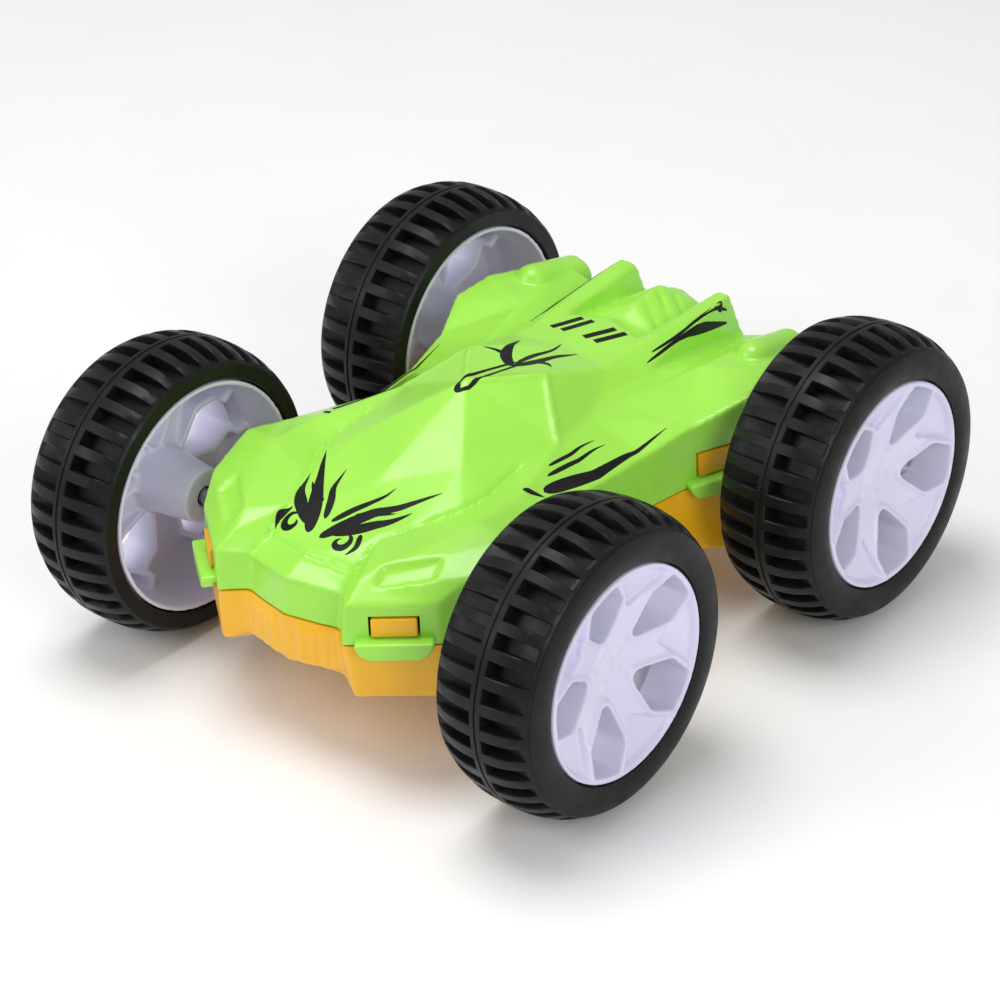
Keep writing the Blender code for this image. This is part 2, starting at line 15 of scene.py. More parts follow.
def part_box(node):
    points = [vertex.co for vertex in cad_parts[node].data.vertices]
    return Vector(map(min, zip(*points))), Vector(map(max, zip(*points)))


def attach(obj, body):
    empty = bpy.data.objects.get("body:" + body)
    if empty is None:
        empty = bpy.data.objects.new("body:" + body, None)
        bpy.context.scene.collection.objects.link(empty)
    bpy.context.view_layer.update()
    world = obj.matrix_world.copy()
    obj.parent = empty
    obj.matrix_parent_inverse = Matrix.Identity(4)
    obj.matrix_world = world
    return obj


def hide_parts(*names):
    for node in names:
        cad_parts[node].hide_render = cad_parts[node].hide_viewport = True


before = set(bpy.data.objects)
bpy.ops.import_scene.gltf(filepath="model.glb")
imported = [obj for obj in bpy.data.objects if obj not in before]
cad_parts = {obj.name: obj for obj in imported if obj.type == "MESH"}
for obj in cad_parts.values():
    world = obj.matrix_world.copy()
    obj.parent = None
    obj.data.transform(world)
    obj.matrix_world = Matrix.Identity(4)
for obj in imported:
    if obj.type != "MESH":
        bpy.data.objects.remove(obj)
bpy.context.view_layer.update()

# ------------------------------------------------------------------ Axles, pins and screws
# Plain drawn steel rod and turned screws, pressed or driven into the plastic.
# They keep their CAD shapes. The finish is drawn along the rod, with faint dull bands.

MM = 0.001


def new_finish(name, roughness, metallic=0.0):
    finish = bpy.data.materials.new(name)
    finish.use_nodes = True
    shader = finish.node_tree.nodes["Principled BSDF"]
    shader.inputs["Roughness"].default_value = roughness
    shader.inputs["Metallic"].default_value = metallic
    return finish, finish.node_tree, shader


def grain(tree, scale, stretch=(1, 1, 1), detail=3.0, roughness=0.5):
    """A noise in the piece's own coordinates. Scale is in waves per metre."""
    place = tree.nodes.new("ShaderNodeTexCoord")
    mapping = tree.nodes.new("ShaderNodeMapping")
    mapping.inputs["Scale"].default_value = stretch
    noise = tree.nodes.new("ShaderNodeTexNoise")
    noise.inputs["Scale"].default_value = scale
    noise.inputs["Detail"].default_value = detail
    noise.inputs["Roughness"].default_value = roughness
    tree.links.new(place.outputs["Object"], mapping.inputs["Vector"])
    tree.links.new(mapping.outputs["Vector"], noise.inputs["Vector"])
    return noise.outputs["Fac"]


def remap(tree, value, low, high, to_low, to_high):
    node = tree.nodes.new("ShaderNodeMapRange")
    tree.links.new(value, node.inputs["Value"])
    for socket, number in (("From Min", low), ("From Max", high), ("To Min", to_low), ("To Max", to_high)):
        node.inputs[socket].default_value = number
    return node.outputs["Result"]


def blended(tree, amount, first, second):
    """A colour that goes from first to second. Each is a colour or another node's output."""
    node = tree.nodes.new("ShaderNodeMix")
    node.data_type = "RGBA"
    tree.links.new(amount, node.inputs["Factor"])
    for socket, colour in ((node.inputs[6], first), (node.inputs[7], second)):
        if isinstance(colour, tuple):
            socket.default_value = (*colour, 1)
        else:
            tree.links.new(colour, socket)
    return node.outputs[2]


def relief(tree, shader, height, strength, depth):
    bump = tree.nodes.new("ShaderNodeBump")
    bump.inputs["Strength"].default_value = strength
    bump.inputs["Distance"].default_value = depth * MM
    tree.links.new(height, bump.inputs["Height"])
    tree.links.new(bump.outputs["Normal"], shader.inputs["Normal"])


def worked_metal(name, bright, dull, roughness, stretch):
    """Bare metal with tool marks that run along the stretched direction."""
    finish, tree, shader = new_finish(name, roughness, 1.0)
    marks = grain(tree, 2500, stretch, detail=4)
    colour = blended(tree, remap(tree, marks, 0.35, 0.7, 0, 1), bright, dull)
    tree.links.new(colour, shader.inputs["Base Color"])
    uneven = remap(tree, grain(tree, 500), 0.3, 0.7, roughness - 0.07, roughness + 0.1)
    tree.links.new(uneven, shader.inputs["Roughness"])
    relief(tree, shader, marks, 0.25, 0.02)
    return finish


def set_finish(finish, names):
    for name in names:
        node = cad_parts[name]
        if not node.material_slots:
            node.data.materials.append(finish)
        for slot in node.material_slots:
            slot.material = finish


drawn_steel = worked_metal("drawn_steel", (0.62, 0.62, 0.63), (0.42, 0.42, 0.44), 0.28, (0.06, 1, 1))
set_finish(drawn_steel, ["front_axle", "rear_axle", "idler_shaft", "flywheel_shaft"])
set_finish(drawn_steel, ["gearbox_screw_upper", "gearbox_screw_lower"])

# ------------------------------------------------------------------ Flywheel and its pinion
# A pressed steel disc that stores the push, and a small brass pinion on the same shaft.
# Both keep their CAD shapes, with turning marks across the disc and along the brass.

turned_steel = worked_metal("turned_steel", (0.5, 0.5, 0.52), (0.33, 0.33, 0.35), 0.34, (1, 0.3, 0.3))
turned_brass = worked_metal("turned_brass", (0.83, 0.62, 0.28), (0.6, 0.42, 0.17), 0.3, (0.08, 1, 1))
set_finish(turned_steel, ["flywheel"])
set_finish(turned_brass, ["flywheel_pinion"])

# ------------------------------------------------------------------ Gears
# The axle gear and the idler gear, moulded in uncoloured nylon.
# They keep their CAD teeth. The nylon is a little cloudy, so its shade drifts.


def moulded_plastic(name, colour, shade, roughness, peel, scuffs=0.12, sheen=None):
    """Injection-moulded plastic: slow shade changes, orange peel, uneven gloss and hairline scuffs."""
    finish, tree, shader = new_finish(name, roughness)
    drift = remap(tree, grain(tree, 55, detail=2), 0.35, 0.7, 0, 1)
    tone = blended(tree, drift, colour, shade)
    scuff = remap(tree, grain(tree, 420, (1, 0.09, 0.5), detail=7, roughness=0.7), 0.63, 0.72, 0, scuffs)
    pale = tuple(min(1.0, 0.75 * part + 0.22) for part in colour)
    tree.links.new(blended(tree, scuff, tone, pale), shader.inputs["Base Color"])
    gloss = remap(tree, grain(tree, 190, detail=4), 0.3, 0.75, roughness - 0.05, roughness + 0.09)
    duller = tree.nodes.new("ShaderNodeMath")
    duller.operation = "ADD"
    tree.links.new(gloss, duller.inputs[0])
    tree.links.new(scuff, duller.inputs[1])
    tree.links.new(duller.outputs[0], shader.inputs["Roughness"])
    relief(tree, shader, grain(tree, 1500, detail=2), peel, 0.03)
    if sheen:
        shader.inputs["Coat Weight"].default_value = sheen
        shader.inputs["Coat Roughness"].default_value = 0.12
    return finish


nylon = moulded_plastic("natural_nylon", (0.82, 0.79, 0.7), (0.72, 0.68, 0.56), roughness=0.42, peel=0.1)
set_finish(nylon, ["axle_gear", "idler_gear"])

# ------------------------------------------------------------------ Gearbox and axle bushes
# The two dark halves of the gear housing are screwed together and held between the shells.
# A bush of the same plastic carries each end of each axle. All keep their CAD shapes.

housing_grey = moulded_plastic(
    "housing_grey", (0.05, 0.05, 0.055), (0.035, 0.035, 0.04), roughness=0.5, peel=0.3
)
set_finish(housing_grey, ["gearbox_left", "gearbox_right"])
set_finish(housing_grey, [f"bush_{end}_{side}" for end in ("front", "rear") for side in ("left", "right")])

# ------------------------------------------------------------------ Lower shell
# The orange underside, moulded in one piece. Its four tabs snap into windows in the upper shell.
# Ribs run down the middle of the nose, and the belly has one flat panel.

AXLE_Z = (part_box("front_axle")[0].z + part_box("front_axle")[1].z) / 2 / MM
AXLE_Y = (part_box("rear_axle")[0].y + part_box("rear_axle")[1].y) / 2 / MM
WALL = 1.2
SEAM_GAP = 0.15
LOWER_DEPTH = 2.6
TALLEST = 23
BELLY_Z = -21.0
# How far each block runs past the seam before it is cut flat there.
OVERRUN = 3.0

# Right half of the upper shell: x, y and height above the axles. The seam is at height 0.
BODY_POINTS = {
    # nose block
    "nose_seam": (0, -56.3, 0), "nose_seam_side": (10, -54.4, 0),
    "nose_edge": (0, -55.1, 6.9), "nose_edge_side": (10, -52.5, 6.2),
    "hood_front": (0, -50.6, 8.8), "hood_front_side": (9.4, -49.2, 8.2),
    # front corner and headlamp
    "corner_seam": (13.8, -57.5, 0), "corner_top": (14.2, -56.9, 7.2), "corner_ridge": (13.6, -52.6, 9.8),
    "chamfer_seam": (26.5, -47.5, 0), "chamfer_top": (26.3, -47.3, 7.6),
    "lamp_a": (16.3, -52.1, 9.0), "lamp_b": (15.3, -48.6, 11.4),
    "lamp_c": (23.2, -41.5, 12.5), "lamp_d": (24.4, -45.7, 10.4),
    # groove between the hood and the front wing
    "groove_1": (9.7, -43.1, 11.5), "groove_2": (12.9, -36.3, 12.0), "groove_3": (16.2, -29.5, 12.8),
    "groove_4": (17.2, -24, 13.4), "groove_5": (16.6, -14.5, 14.6),
    # side wall, seam and shoulder
    "side_1": (30.2, -41.5, 0), "shoulder_1": (29.0, -41.8, 10.8),
    "side_2": (31.5, -31, 0), "shoulder_2": (30.3, -32.0, 13.8),
    "side_3": (28.8, -22.5, 0), "shoulder_3": (27.5, -22.8, 12.9),
    "side_4": (26.6, -5, 0), "shoulder_4": (25.6, -4.5, 9.6),
    "side_5": (27, 6, 0), "shoulder_5": (26.4, 5.2, 10),
    "side_6": (28.2, 15, 0), "shoulder_6": (28.6, 16, 11.7),
    "side_7": (32.6, 26, 0), "shoulder_7": (33.0, 25.8, 14.4),
    "side_8": (32.4, 33.5, 0), "shoulder_8": (31.6, 33.0, 15.8),
    "side_9": (26.8, 48, 0), "shoulder_9": (27.4, 46.6, 14.2),
    # wing top
    "wing_1": (22.5, -33, 14.6), "wing_2": (22.5, -22, 14.4),
    # cabin
    "screen_foot": (0, -33.4, 14.0), "screen_foot_side": (10.9, -23.4, 16.0),
    "pillar_foot": (17.2, -6, 14.9),
    "roof_front": (0, -9.3, 22.8), "roof_corner": (8.5, 1.7, 22.0),
    "roof_rear_side": (10.5, 14.8, 17.9), "roof_rear": (0, 16.2, 18.4),
    "cabin_side_1": (15.2, 4.5, 14.5), "cabin_side_2": (13.4, 9.6, 15.3),
    # rear deck, fins and tail
    "deck_side": (9.5, 18.5, 17.9), "deck_edge_side": (8.0, 27.0, 17.6), "deck_edge": (0, 29.5, 18.0),
    "fin_out": (12.3, 48.1, 18.7), "fin_in": (9.0, 48.6, 18.0),
    "fin_foot_rear": (13.4, 50.4, 10.3), "fin_foot": (14.2, 20.5, 15.2),
    "trough": (0, 32, 16.6), "trough_side": (7.6, 29.5, 15.6),
    "cover_front": (0, 36.5, 18.2), "cover_front_side": (7.7, 33, 15.0),
    "cover_ridge": (0, 43.5, 18.8), "cover_ridge_side": (7.8, 41, 14.4),
    "cover_end": (0, 50, 15.3), "cover_end_side": (7.8, 49.6, 12.6),
    "channel_1": (16.2, 12.5, 13.8), "channel_2": (17.5, 30, 13.8), "channel_3": (17.5, 46, 13.2),
    "haunch_1": (20.0, 29.0, 15.0), "haunch_2": (21.5, 45.6, 14.6),
    "tail_side": (14, 53, 0), "tail": (0, 55, 0),
}

BODY_FACES = """
nose_seam nose_seam_side nose_edge_side nose_edge
nose_edge nose_edge_side hood_front_side hood_front
nose_seam_side corner_seam corner_top nose_edge_side
nose_edge_side corner_top corner_ridge
nose_edge_side corner_ridge hood_front_side
hood_front_side corner_ridge groove_1
corner_seam chamfer_seam chamfer_top corner_top
corner_top chamfer_top lamp_d lamp_a
corner_top lamp_a corner_ridge
corner_ridge lamp_a lamp_b
corner_ridge lamp_b groove_1
lamp_a lamp_d lamp_c lamp_b
chamfer_top shoulder_1 lamp_d
lamp_d shoulder_1 lamp_c
lamp_c shoulder_1 shoulder_2
lamp_c shoulder_2 wing_1
lamp_b lamp_c wing_1
lamp_b wing_1 groove_2
groove_1 lamp_b groove_2
groove_2 wing_1 groove_3
groove_3 wing_1 wing_2
groove_3 wing_2 groove_4
groove_4 wing_2 groove_5
wing_1 shoulder_2 shoulder_3 wing_2
wing_2 shoulder_3 shoulder_4
wing_2 shoulder_4 pillar_foot
groove_5 wing_2 pillar_foot
pillar_foot shoulder_4 shoulder_5
pillar_foot shoulder_5 cabin_side_1
cabin_side_1 shoulder_5 shoulder_6
cabin_side_1 shoulder_6 channel_1
cabin_side_1 channel_1 cabin_side_2
hood_front hood_front_side groove_1
hood_front groove_1 screen_foot
groove_1 groove_2 screen_foot
groove_2 groove_3 screen_foot_side screen_foot
groove_3 groove_4 screen_foot_side
groove_4 groove_5 screen_foot_side
groove_5 pillar_foot screen_foot_side
screen_foot screen_foot_side roof_front
screen_foot_side pillar_foot roof_corner roof_front
pillar_foot cabin_side_1 roof_corner
cabin_side_1 cabin_side_2 roof_rear_side roof_corner
roof_front roof_corner roof_rear_side roof_rear
roof_rear roof_rear_side deck_side deck_edge_side deck_edge
roof_rear_side cabin_side_2 fin_foot deck_side
deck_side fin_foot fin_foot_rear fin_out
deck_side fin_out fin_in deck_edge_side
deck_edge_side fin_in cover_ridge_side cover_front_side trough_side
fin_in cover_end_side cover_ridge_side
deck_edge deck_edge_side trough_side trough
trough trough_side cover_front_side cover_front
cover_front cover_front_side cover_ridge_side cover_ridge
cover_ridge cover_ridge_side cover_end_side cover_end
cabin_side_2 channel_1 fin_foot
fin_foot channel_1 channel_2
fin_foot channel_2 channel_3 fin_foot_rear
channel_1 shoulder_6 haunch_1
channel_1 haunch_1 channel_2
channel_2 haunch_1 haunch_2 channel_3
shoulder_6 shoulder_7 haunch_1
haunch_1 shoulder_7 shoulder_8
haunch_1 shoulder_8 shoulder_9 haunch_2
channel_3 haunch_2 shoulder_9
channel_3 shoulder_9 side_9
channel_3 side_9 tail_side
channel_3 tail_side fin_foot_rear
fin_in fin_out fin_foot_rear cover_end_side
cover_end_side fin_foot_rear tail_side
cover_end cover_end_side tail_side tail
chamfer_seam side_1 shoulder_1 chamfer_top
side_1 side_2 shoulder_2 shoulder_1
side_2 side_3 shoulder_3 shoulder_2
side_3 side_4 shoulder_4 shoulder_3
side_4 side_5 shoulder_5 shoulder_4
side_5 side_6 shoulder_6 shoulder_5
side_6 side_7 shoulder_7 shoulder_6
side_7 side_8 shoulder_8 shoulder_7
side_8 side_9 shoulder_9 shoulder_8
"""


def paint(piece, finish):
    piece.data.materials.clear()
    piece.data.materials.append(finish)


def new_piece(name, mesh, finish=None):
    piece = bpy.data.objects.new(name, mesh)
    bpy.context.scene.collection.objects.link(piece)
    if finish:
        paint(piece, finish)
    return piece


def band(start, after, steps):
    """The faces between two rings of points, from the number of each ring's first point."""
    return [
        [start + k, start + (k + 1) % steps, after + (k + 1) % steps, after + k] for k in range(steps)
    ]


def tube_faces(rings, steps):
    """The faces of a tube of rings of points, closed at both ends."""
    last = (rings - 1) * steps
    faces = [list(range(steps)), [last + k for k in range(steps)]]
    for start in range(0, last, steps):
        faces += band(start, start + steps, steps)
    return faces


def loop_faces(rings, steps):
    """The faces of a loop of rings of points, the last ring joined to the first."""
    count = rings * steps
    faces = []
    for start in range(0, count, steps):
        faces += band(start, (start + steps) % count, steps)
    return faces


def solid_mesh(name, points, faces, split=True):
    """A mesh from points in millimetres, facing outwards, and split into triangles for cutting."""
    work = bmesh.new()
    corners = [work.verts.new(Vector(point) * MM) for point in points]
    for face in faces:
        work.faces.new([corners[i] for i in face])
    if split:
        bmesh.ops.triangulate(work, faces=work.faces)
    bmesh.ops.recalc_face_normals(work, faces=work.faces)
    mesh = bpy.data.meshes.new(name)
    work.to_mesh(mesh)
    work.free()
    return mesh


def half_body(name, points):
    """One shell as a solid block: its skin on both sides of the middle, closed flat at the seam."""
    names = list(points)
    rows = [[names.index(word) for word in row.split()] for row in BODY_FACES.strip().splitlines()]
    corners = [(x, y, AXLE_Z + z) for x, y, z in points.values()]
    count = len(corners)
    middle = {i for i, corner in enumerate(corners) if corner[0] == 0}
    rows += [[i if i in middle else i + count for i in row][::-1] for row in rows]
    corners += [(-x, y, z) for x, y, z in corners]
    used = sorted({i for row in rows for i in row})
    order = {old: new for new, old in enumerate(used)}
    work = bmesh.new()
    verts = [work.verts.new(Vector(corners[i]) * MM) for i in used]
    for row in rows:
        work.faces.new([verts[order[i]] for i in row])
    bmesh.ops.triangulate(work, faces=work.faces)
    bmesh.ops.holes_fill(work, edges=[edge for edge in work.edges if edge.is_boundary], sides=0)
    bmesh.ops.recalc_face_normals(work, faces=work.faces)
    mesh = bpy.data.meshes.new(name)
    work.to_mesh(mesh)
    work.free()
    return new_piece(name, mesh)


def combined(piece, others, operation):
    """Joins or cuts with the other solids, keeps the result as the piece's mesh, and removes the others."""
    for other in others:
        step = piece.modifiers.new(other.name, "BOOLEAN")
        step.operation = operation
        step.solver = "MANIFOLD"
        step.object = other
    settle(piece)
    for other in others:
        bpy.data.objects.remove(other)


def settle(piece):
    """Turns the piece's modifiers into its own mesh."""
    bpy.context.view_layer.update()
    graph = bpy.context.evaluated_depsgraph_get()
    mesh = bpy.data.meshes.new_from_object(piece.evaluated_get(graph))
    piece.modifiers.clear()
    piece.data = mesh


def soften(piece, voxel, passes, share):
    """Rounds every crease a little: an even mesh, relaxed a few times, then thinned where it is flat."""
    even = piece.modifiers.new("even", "REMESH")
    even.mode = "VOXEL"
    even.voxel_size = voxel * MM
    settle(piece)
    work = bmesh.new()
    work.from_mesh(piece.data)
    for _ in range(passes):
        bmesh.ops.smooth_vert(
            work, verts=work.verts, factor=0.5, use_axis_x=True, use_axis_y=True, use_axis_z=True
        )
    work.to_mesh(piece.data)
    work.free()
    thin = piece.modifiers.new("thin", "DECIMATE")
    thin.ratio = share
    settle(piece)


def shade(piece, sharp=40):
    piece.data.shade_smooth()
    piece.data.set_sharp_from_angle(angle=radians(sharp))


def hollow(piece, seam_z, side):
    """Takes the inside out of a block, then cuts it off flat at the seam."""
    inside = new_piece(piece.name + "_inside", piece.data.copy())
    inwards = inside.modifiers.new("inwards", "DISPLACE")
    inwards.strength = -WALL * MM
    inwards.mid_level = 0
    soften(inside, voxel=0.7, passes=1, share=0.4)
    # A box well past the shell's own outline and past its overrun at the seam.
    far = seam_z - side * 20
    outline = ((-60, -70), (60, -70), (60, 70), (-60, 70))
    corners = [(x, y, z) for z in sorted((seam_z, far)) for x, y in outline]
    beyond = new_piece(piece.name + "_beyond", solid_mesh("beyond", corners, tube_faces(2, 4)))
    combined(piece, [inside, beyond], "DIFFERENCE")


def swept(name, line, radius, steps=8):
    """A round bar along a line of (x, y, height) points."""
    line = [Vector((x, y, AXLE_Z + z)) for x, y, z in line]
    points = []
    for k, point in enumerate(line):
        ahead = (line[min(k + 1, len(line) - 1)] - line[max(k - 1, 0)]).normalized()
        sideways = ahead.cross(Vector((0, 0, 1))).normalized()
        upward = sideways.cross(ahead)
        points += [
            point + radius * (cos(2 * pi * i / steps) * sideways + sin(2 * pi * i / steps) * upward)
            for i in range(steps)
        ]
    return new_piece(name, solid_mesh(name, points, tube_faces(len(line), steps)))


# The lower shell's nose stands upright, so these few points differ from the upper shell's.
NOSE_POINTS = {
    "nose_edge": (0, -56.3, -8.8), "nose_edge_side": (10, -53.9, -8.1),
    "corner_top": (15.0, -56.3, -10.3), "chamfer_top": (25.9, -47.3, -10.4),
}


def lower_point(name, point):
    """The underside repeats the upper body, a little deeper at its edges."""
    x, y, height = point
    if height == 0:
        return (x, y, OVERRUN)
    if name in NOSE_POINTS:
        return NOSE_POINTS[name]
    if name.startswith(("roof", "deck")):
        return (x, y, BELLY_Z)
    return (x, y, -height - LOWER_DEPTH * (1 - height / TALLEST))


def wall_point(start, end, middle, along, out, height):
    """A point by a wall: its distance along from the latch's middle, outwards, and above the axles."""
    ahead = (Vector(end) - Vector(start)).normalized()
    spot = Vector(start) + ahead * middle + ahead * along + Vector((ahead.y, -ahead.x)) * out
    return (spot.x, spot.y, AXLE_Z + height)


def prism_along(start, end, middle, width, profile, name):
    """A bar along a wall. Its profile is outward distance and height above the axles."""
    points = [
        wall_point(start, end, middle, along, out, height)
        for along in (-width / 2, width / 2) for out, height in profile
    ]
    return new_piece(name, solid_mesh(name, points, tube_faces(2, len(profile))))


# The front and the rear latch of the right side: the ends of its wall, the distance from the first
# end to the latch's middle, its width, and how much taller than the front one it is.
LATCHES = (("corner_seam", "chamfer_seam", 8.75, 8.3, 0), ("side_6", "side_7", 5.3, 7.4, 1))


def latch_walls():
    """The latches of both sides, with the ends of each wall seen from above."""
    for first, last, middle, width, lift in LATCHES:
        start, end = BODY_POINTS[first][:2], BODY_POINTS[last][:2]
        yield start, end, middle, width, lift
        length = hypot(end[0] - start[0], end[1] - start[1])
        yield (-end[0], end[1]), (-start[0], start[1]), length - middle, width, lift


def rounded(piece, width, segments=3):
    """Rounds the edges of a small block."""
    bevel = piece.modifiers.new("edges", "BEVEL")
    bevel.width = width * MM
    bevel.segments = segments
    bevel.limit_method = "ANGLE"
    bevel.angle_limit = radians(30)
    settle(piece)
    return piece


def axle_notch(label, radius=2.9, steps=32):
    """A bar through both side walls, where an axle's bushes pass through the seam."""
    y = AXLE_Y if label == "rear" else -AXLE_Y
    points = [
        (x, y + radius * cos(2 * pi * k / steps), AXLE_Z + radius * sin(2 * pi * k / steps))
        for x in (-40, 40) for k in range(steps)
    ]
    return new_piece(f"notch_{label}", solid_mesh(f"notch_{label}", points, tube_faces(2, steps)))


orange_plastic = moulded_plastic(
    "orange_plastic", (0.9, 0.475, 0.004), (0.85, 0.42, 0.003), roughness=0.32, peel=0.06, sheen=0.1
)

lower_points = {name: lower_point(name, point) for name, point in BODY_POINTS.items()}
lower_shell = half_body("lower_shell_finished", lower_points)

# Four round ribs a side on the nose, which sweeps back from its middle.
RIB_RADIUS, RIB_PITCH, FIRST_RIB = 1.3, 2.15, 3.1
RIB_TOP, RIB_FOOT = -1.4, -8.3
NOSE_Y, NOSE_SWEEP = -55.65, 0.2
ribs = []
for side in (-1, 1):
    for place in range(4):
        x = side * (FIRST_RIB + RIB_PITCH * place)
        y = NOSE_Y + NOSE_SWEEP * abs(x)
        line = [(x, y, RIB_TOP), (x, y - 0.01, RIB_FOOT)]
        ribs.append(swept(f"rib_{side}_{place}", line, RIB_RADIUS, 14))
combined(lower_shell, ribs, "UNION")
soften(lower_shell, voxel=0.5, passes=3, share=0.4)
hollow(lower_shell, AXLE_Z - SEAM_GAP, -1)

# Heights and outward distances of a latch tab. It is rooted inside the wall, is thinner where it
# passes behind the bar, steps out through the window and stops short of the window's edges.
TAB_SIDE_GAP = 0.4
TAB_FOOT, TAB_STEP, TAB_SILL, TAB_TOP = -5, -0.7, 1.95, 5.0
TAB_BACK, TAB_NECK, TAB_ROOT, TAB_FACE, TAB_LIP = -2.6, -1.6, -0.6, 0.3, 0.45
tabs = []
for k, (start, end, middle, width, lift) in enumerate(latch_walls()):
    profile = [
        (TAB_BACK, TAB_FOOT), (TAB_ROOT, TAB_FOOT), (TAB_ROOT, TAB_STEP), (TAB_NECK, TAB_STEP),
        (TAB_NECK, TAB_SILL), (TAB_LIP, TAB_SILL), (TAB_FACE, TAB_TOP + lift), (TAB_BACK, TAB_TOP + lift),
    ]
    tab = prism_along(start, end, middle, width - 2 * TAB_SIDE_GAP, profile, f"tab_{k}")
    tabs.append(rounded(tab, 0.4))
combined(lower_shell, tabs, "UNION")
combined(lower_shell, [axle_notch("front"), axle_notch("rear")], "DIFFERENCE")
shade(lower_shell)
paint(lower_shell, orange_plastic)
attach(lower_shell, "body")
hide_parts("lower_shell")

# ------------------------------------------------------------------ Upper shell
# The green top, moulded in one piece of gloss plastic, with soft creases between its facets.
# Headlamp recesses, pods, fins and louvres are part of it, and so are the bars below the windows.

POD_FRONT = Vector((25.0, 38.8, 13.4))
POD_REAR = Vector((24.6, 50.0, 10.8))
POD_RADIUS = 4.0


def pod(side, steps=20):
    """A capsule sunk in the rear wing. Its front end is round and its rear end is flat."""
    line, sizes = [], []
    for k in range(6):
        tilt = pi / 2 * k / 5
        line.append(POD_FRONT + (POD_FRONT - POD_REAR).normalized() * POD_RADIUS * cos(tilt))
        sizes.append(max(0.05, POD_RADIUS * sin(tilt)))
    line.append(POD_REAR)
    sizes.append(POD_RADIUS)
    points = []
    for (x, y, z), size in zip(line, sizes):
        points += [
            (side * x + size * cos(2 * pi * k / steps), y, AXLE_Z + z + size * sin(2 * pi * k / steps))
            for k in range(steps)
        ]
    return new_piece(f"pod_{side}", solid_mesh("pod", points, tube_faces(len(line), steps)))


# How far a headlamp recess sinks into its facet, and the share of the facet that it fills.
LAMP_DEPTH = 0.65
LAMP_SHARE = 0.96


def lamp_recess(side):
    """A shallow quadrilateral sunk in the front wing."""
    ring = [Vector(BODY_POINTS[key]) for key in ("lamp_a", "lamp_d", "lamp_c", "lamp_b")]
    ring = [Vector((side * point.x, point.y, AXLE_Z + point.z)) for point in ring]
    middle = sum(ring, Vector()) / 4
    normal = (ring[2] - ring[0]).cross(ring[3] - ring[1]).normalized()
    if normal.z < 0:
        normal.negate()
    inner = [middle + (point - middle) * LAMP_SHARE for point in ring]
    points = [point - normal * LAMP_DEPTH for point in inner] + [point + normal * 2 for point in inner]
    block = new_piece(f"lamp_{side}", solid_mesh("lamp", points, tube_faces(2, 4), split=False))
    return rounded(block, 0.6)


COVER_HALF = 7.7
LOUVRE_RADIUS, LOUVRE_PITCH, LOUVRE_SWEEP, FIRST_LOUVRE = 0.55, 3.7, 0.66, 39.2


def cover_height(x, y):
    """The height of the engine cover between the fins, from the slopes in front of and behind its ridge."""
    ridge = 18.2 + 0.6 * min(1, (y - 36.5) / 7) if y < 43.5 else 18.8 - 3.5 * (y - 43.5) / 6.5
    side = 15.0 - 0.075 * (y - 33) if y < 41 else 14.4 - 0.21 * (y - 41)
    return ridge + (side - ridge) * abs(x) / COVER_HALF


def louvre(place):
    """A groove in the shape of a V across the engine cover, its point to the rear."""
    tip = FIRST_LOUVRE + LOUVRE_PITCH * place
    line = []
    for k in range(-6, 7):
        x = 1.3 * k
        y = tip - LOUVRE_SWEEP * abs(x)
        line.append((x, y, cover_height(x, y) + 0.1))
    return swept(f"louvre_{place}", line, LOUVRE_RADIUS)


# A bar reaches past both ends of its window, and from inside the wall to in front of it.
BAR_OVERHANG = 2.3
BAR_BACK, BAR_FRONT = -0.8, 2.4
BAR_TOP = 1.5
# One lower corner of a bar: distance in from its end, and height above the axles.
BAR_CORNER = ((0, 0.9), (0.35, 0), (1.0, -0.9), (2.0, -1.5), (2.8, -1.6))


def latch_bar(start, end, middle, width, name):
    """The bar below a window: level on top, its lower corners swept up, its edges round."""
    half = width / 2 + BAR_OVERHANG
    lower = [(inset - half, height) for inset, height in BAR_CORNER]
    outline = [(-half, BAR_TOP)] + lower + [(-u, z) for u, z in lower[::-1]] + [(half, BAR_TOP)]
    points = [
        wall_point(start, end, middle, along, out, height)
        for out in (BAR_BACK, BAR_FRONT) for along, height in outline
    ]
    bar = new_piece(name, solid_mesh(name, points, tube_faces(2, len(outline)), split=False))
    return rounded(bar, 0.8, 4)


def point_line(names, side, lift):
    """The body points with these names, on one side of the car, raised by lift."""
    return [(side * x, y, z + lift) for x, y, z in (BODY_POINTS[key] for key in names)]


green_plastic = moulded_plastic(
    "green_plastic", (0.355, 0.79, 0.075), (0.32, 0.73, 0.062), roughness=0.27, peel=0.06, sheen=0.15
)

upper_points = {
    name: (x, y, -OVERRUN if height == 0 else height) for name, (x, y, height) in BODY_POINTS.items()
}
upper_shell = half_body("upper_shell_finished", upper_points)
WING_GROOVE = ["hood_front_side", "groove_1", "groove_2", "groove_3", "groove_4", "groove_5"]
NOSE_STEP = ["hood_front_side", "hood_front"]
NOSE_RIDGE = ["nose_edge_side", "nose_edge"]
PILLAR = ["roof_front", "roof_corner", "pillar_foot"]
FIN_TOP = ((9.4, 23.5, 15.9), (10.6, 47.9, 17.1))
FIN_RADIUS = 1.6
added = [pod(side) for side in (1, -1)]
removed = [lamp_recess(side) for side in (1, -1)] + [louvre(place) for place in range(3)]
for side in (1, -1):
    added.append(swept(f"fin_{side}", [(side * x, y, z) for x, y, z in FIN_TOP], FIN_RADIUS, 18))
    added.append(swept(f"pillar_{side}", point_line(PILLAR, side, -0.2), 0.5))
    added.append(swept(f"nose_ridge_{side}", point_line(NOSE_RIDGE, side, -0.25), 0.45))
    removed.append(swept(f"wing_groove_{side}", point_line(WING_GROOVE, side, 0.05), 0.6))
    removed.append(swept(f"nose_step_{side}", point_line(NOSE_STEP, side, 0.05), 0.7))
combined(upper_shell, added, "UNION")
